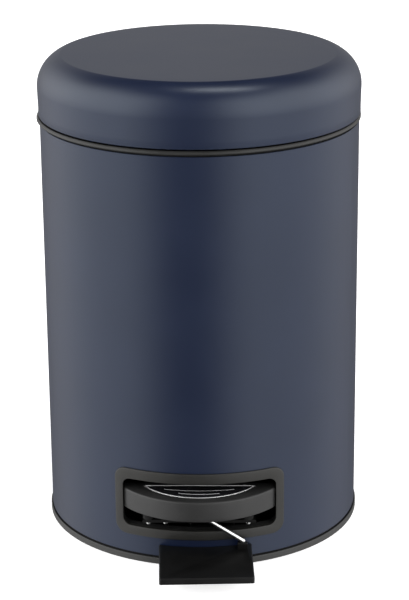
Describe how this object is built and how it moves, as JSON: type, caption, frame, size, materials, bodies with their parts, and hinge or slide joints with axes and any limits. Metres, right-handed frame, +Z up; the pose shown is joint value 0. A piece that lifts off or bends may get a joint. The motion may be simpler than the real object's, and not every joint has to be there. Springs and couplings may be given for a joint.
{
  "type": "pedal trash can",
  "caption": "Round steel pedal bin: hinged lid with rounded shoulder, lift-out bucket with bail, D-shaped tread in a framed slot, foot pad, and a push rod to the rear hinge.",
  "frame": {"origin": "centre of the tube, on the floor plane that the base stands on", "axes": "+Z up the tube; the pedal faces -Y; the lid hinge is at +Y; +X is to the right seen from the pedal side"},
  "size_m": [0.1685, 0.2258, 0.2528],
  "materials": {
    "navy_paint": "matt navy powder coat on steel",
    "base_plastic": "dark grey moulded plastic",
    "rim_plastic": "dark grey moulded plastic",
    "frame_plastic": "dark grey moulded plastic, fine texture",
    "tread_plastic": "dark grey moulded plastic",
    "badge_plastic": "smooth dark inset",
    "pad_plastic": "black moulded plastic, satin",
    "bucket_plastic": "black moulded polypropylene",
    "guide_plastic": "natural acetal",
    "soft_rubber": "soft thermoplastic rubber",
    "bright_trim": "bright metallised edge",
    "bright_steel": "bright drawn steel",
    "zinc_steel": "zinc-plated steel",
    "zinc_plate": "zinc-plated sheet",
    "black_steel": "black painted steel"
  },
  "bodies": {
    "housing": {"body_shell": "navy_paint", "base_pan": "base_plastic", "anti_slip_ring": "soft_rubber", "rim_ring": "rim_plastic", "slot_frame": "frame_plastic", "frame_clips": "zinc_steel", "hinge_housing": "frame_plastic", "housing_screws": "zinc_steel", "housing_nuts": "zinc_steel", "hinge_pin": "bright_steel", "lid_stops": "soft_rubber", "rod_guides": "guide_plastic", "guide_rivets": "zinc_steel", "pedal_axle": "bright_steel"},
    "lid": {"lid_shell": "navy_paint", "lid_liner": "rim_plastic", "lid_buffers": "soft_rubber", "lid_hinge": "black_steel", "lid_rivets": "zinc_steel", "drive_pin": "bright_steel"},
    "pedal": {"pedal_lever": "zinc_plate", "tread_bracket": "black_steel", "pedal_tread": "tread_plastic", "tread_badge": "badge_plastic", "badge_trim": "bright_trim", "tread_screws": "bright_steel", "pedal_pad": "pad_plastic", "pad_screws": "zinc_steel", "pedal_stay": "bright_steel"},
    "push_rod": {"push_rod": "zinc_steel", "rod_head": "guide_plastic", "rod_foot": "guide_plastic"},
    "bucket": {"inner_bucket": "bucket_plastic"},
    "bail": {"bucket_bail": "bright_steel"}
  },
  "joints": [
    {"name": "lid_swing", "type": "hinge", "parent": "housing", "child": "lid", "pos_m": [0, 0.0902, 0.219], "axis": [-1, 0, 0], "range_deg": [0, 81.6]},
    {"name": "pedal_press", "type": "hinge", "parent": "housing", "child": "pedal", "pos_m": [0, -0.064, 0.0075], "axis": [1, 0, 0], "range_deg": [0, 8]},
    {"name": "rod_lift", "type": "slide", "parent": "housing", "child": "push_rod", "axis": [0, 0, 1], "range_m": [0, 0.0196]},
    {"name": "bucket_lift", "type": "slide", "parent": "housing", "child": "bucket", "axis": [0, 0, 1], "range_m": [0, 0.012]},
    {"name": "bail_swing", "type": "hinge", "parent": "bucket", "child": "bail", "pos_m": [0, 0, 0.2201], "axis": [-1, 0, 0], "range_deg": [0, 12]}
  ],
  "couplings": [
    {"joint": "pedal_press", "follows": "lid_swing", "ratio": 0.09803},
    {"joint": "rod_lift", "follows": "lid_swing", "m_per_rad": 0.013762}
  ]
}
